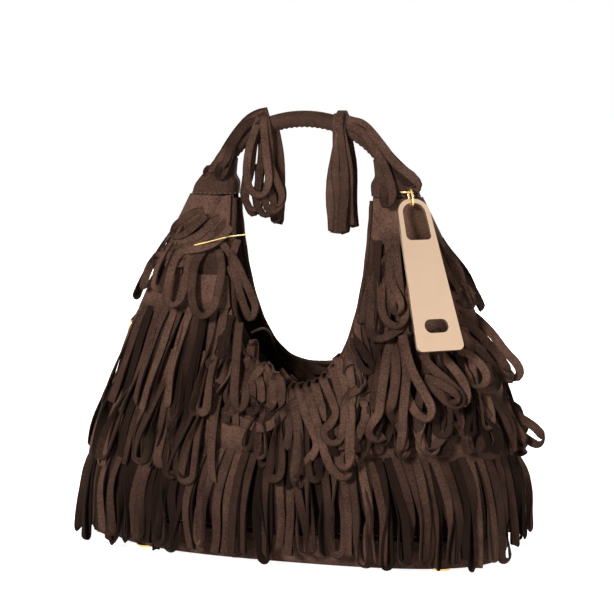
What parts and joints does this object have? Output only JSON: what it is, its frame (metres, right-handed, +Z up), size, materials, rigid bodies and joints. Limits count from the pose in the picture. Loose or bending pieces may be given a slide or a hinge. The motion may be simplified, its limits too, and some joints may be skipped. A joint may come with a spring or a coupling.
{
  "type": "shoulder bag",
  "caption": "Slouchy suede shoulder bag with tiers of looped fringe, rolled handle, hanging metal tag and end D rings.",
  "frame": {"origin": "on the floor under the middle of the bag's bounding box, feet at z 0", "axes": "+X along the bag's width to its right end, -Y to the front, +Z up"},
  "size_m": [0.3949, 0.1591, 0.3587],
  "materials": {
    "suede_brown": "brushed nap, matte, chocolate brown",
    "lining_cloth": "plain woven lining",
    "cord_core": "twisted cotton cord",
    "grey_board": "stiff base board",
    "yellow_gold": "polished plate",
    "pale_gold": "satin plate"
  },
  "bodies": {
    "bag": {"front_panel": "suede_brown", "back_panel": "suede_brown", "gusset_left": "suede_brown", "gusset_right": "suede_brown", "base_panel": "suede_brown", "mouth_binding_front": "suede_brown", "mouth_binding_back": "suede_brown", "handle_cover": "suede_brown", "handle_collar_left": "suede_brown", "handle_collar_right": "suede_brown", "handle_fringe_left": "suede_brown", "handle_fringe_right": "suede_brown", "handle_flap_left": "suede_brown", "handle_flap_right": "suede_brown", "d_ring_tab_left": "suede_brown", "d_ring_tab_right": "suede_brown", "fringe_bottom_front": "suede_brown", "fringe_bottom_back": "suede_brown", "fringe_bottom_left": "suede_brown", "fringe_bottom_right": "suede_brown", "fringe_middle_left": "suede_brown", "fringe_middle_right": "suede_brown", "fringe_upper_left": "suede_brown", "fringe_upper_right": "suede_brown", "fringe_horn_left": "suede_brown", "fringe_horn_right": "suede_brown", "fringe_mouth_front": "suede_brown", "fringe_mouth_back": "suede_brown", "lining": "lining_cloth", "inner_pocket": "lining_cloth", "handle_core": "cord_core", "base_board": "grey_board", "foot_front_left": "yellow_gold", "foot_front_right": "yellow_gold", "foot_back_left": "yellow_gold", "foot_back_right": "yellow_gold", "tag_loop": "yellow_gold", "snap_front": "yellow_gold", "snap_back": "yellow_gold", "thread_loop": "yellow_gold"},
    "d_ring_left": {"d_ring_left": "yellow_gold"},
    "d_ring_right": {"d_ring_right": "yellow_gold"},
    "tag_ring": {"tag_ring": "yellow_gold"},
    "tag": {"tag": "pale_gold"}
  },
  "joints": [
    {"name": "d_ring_right_swing", "type": "hinge", "parent": "bag", "child": "d_ring_right", "pos_m": [0.14843, 0, 0.18212], "axis": [0, -1, 0], "range_deg": [0, 110]},
    {"name": "d_ring_left_swing", "type": "hinge", "parent": "bag", "child": "d_ring_left", "pos_m": [-0.14843, 0, 0.18212], "axis": [0, 1, 0], "range_deg": [0, 110]},
    {"name": "tag_link_swing", "type": "hinge", "parent": "bag", "child": "tag_ring", "pos_m": [0.091, -0.0175, 0.295], "axis": [-0.7885, -0.615, 0], "range_deg": [0, 70]},
    {"name": "tag_sway", "type": "hinge", "parent": "tag_ring", "child": "tag", "pos_m": [0.09403, -0.02139, 0.28505], "axis": [0.5511, -0.7066, 0.4439], "range_deg": [-25, 25]}
  ]
}
